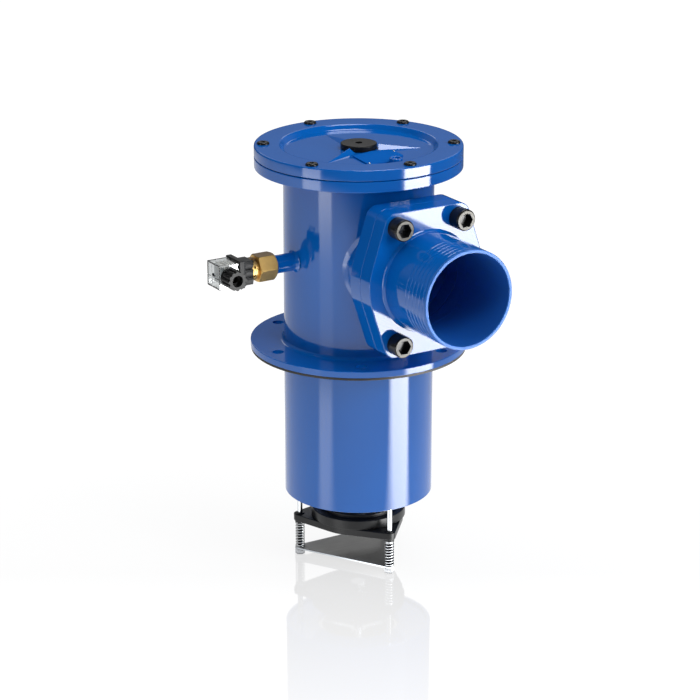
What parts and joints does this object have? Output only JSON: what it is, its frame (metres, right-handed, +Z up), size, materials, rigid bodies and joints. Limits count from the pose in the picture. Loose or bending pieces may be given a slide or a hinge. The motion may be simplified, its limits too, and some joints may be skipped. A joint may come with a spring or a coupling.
{
  "type": "suction strainer",
  "caption": "Tank-mounted suction strainer with a bolted cover, a flanged side outlet with hose nozzle, a vacuum switch and a sprung foot valve under the body.",
  "frame": {"origin": "centre of the tank flange's bolt circle, in the face that sits on the tank top", "axes": "+Z up along the body's axis, -Y along the hose outlet, -X towards the vacuum switch"},
  "size_m": [0.307, 0.3445, 0.492],
  "materials": {
    "blue_paint": "glossy enamel",
    "bare_steel": "plain",
    "bright_steel": "bright",
    "spring_steel": "bright",
    "black_screw": "black oxide",
    "dark_plate": "satin",
    "black_plastic": "satin",
    "black_rubber": "matt",
    "brass": "turned",
    "bush": "plain",
    "clear_plastic": "clear",
    "white_plastic": "plain",
    "mesh": "woven"
  },
  "bodies": {
    "housing": {"body_tube": "blue_paint", "top_ring": "blue_paint", "cover_seal": "black_rubber", "tank_flange": "blue_paint", "tank_gasket": "black_rubber", "seat_ring": "bare_steel", "outlet_neck": "blue_paint", "port_pad": "blue_paint", "port_seal": "black_rubber", "port_flange": "blue_paint", "hose_nozzle": "blue_paint", "port_screws": "black_screw", "guide_rods": "bright_steel", "lower_plate": "dark_plate", "rod_washers": "bright_steel", "rod_nuts": "bright_steel", "foot_springs": "spring_steel", "switch_stub": "blue_paint", "switch_body": "brass", "crimp_ring": "brass", "switch_base": "black_plastic", "switch_pins": "brass", "connector_gasket": "black_rubber", "connector_frame": "black_plastic", "connector_housing": "clear_plastic", "contact_insert": "white_plastic", "connector_screw": "bare_steel", "gland_nut": "black_plastic", "gland_seal": "black_rubber"},
    "cover": {"cover": "blue_paint", "cover_screws": "black_screw", "centre_plug": "black_plastic", "plug_seal": "black_rubber"},
    "foot_valve": {"yoke_plate": "dark_plate", "guide_bushes": "bush", "valve_disc": "black_plastic", "valve_screw": "black_screw"},
    "element": {"bottom_cap": "bare_steel", "element_seal": "black_rubber", "support_tube": "bare_steel", "filter_mesh": "mesh", "top_cap": "bare_steel", "tie_rod": "bright_steel", "rod_foot": "bare_steel", "top_washer": "bare_steel", "top_nut": "bare_steel", "bypass_spring": "spring_steel", "hold_down_spring": "spring_steel"},
    "bypass_valve": {"bypass_disc": "bare_steel", "bypass_seal": "black_rubber"}
  },
  "joints": [
    {"name": "cover_lift", "type": "slide", "parent": "housing", "child": "cover", "axis": [0, 0, 1], "range_m": [0, 0.1]},
    {"name": "element_lift", "type": "slide", "parent": "housing", "child": "element", "axis": [0, 0, 1], "range_m": [0, 0.0253], "stiffness_N_per_m": 4000, "springref_m": -0.02, "deforming": ["hold_down_spring"]},
    {"name": "foot_valve_close", "type": "slide", "parent": "housing", "child": "foot_valve", "axis": [0, 0, 1], "range_m": [0, 0.0253], "stiffness_N_per_m": 600, "springref_m": 0.05, "deforming": ["foot_springs"]},
    {"name": "bypass_lift", "type": "slide", "parent": "element", "child": "bypass_valve", "axis": [0, 0, 1], "range_m": [0, 0.008], "stiffness_N_per_m": 3000, "springref_m": -0.01, "deforming": ["bypass_spring"]}
  ],
  "couplings": [
    {"joint": "foot_valve_close", "follows": "element_lift", "ratio": 1}
  ]
}
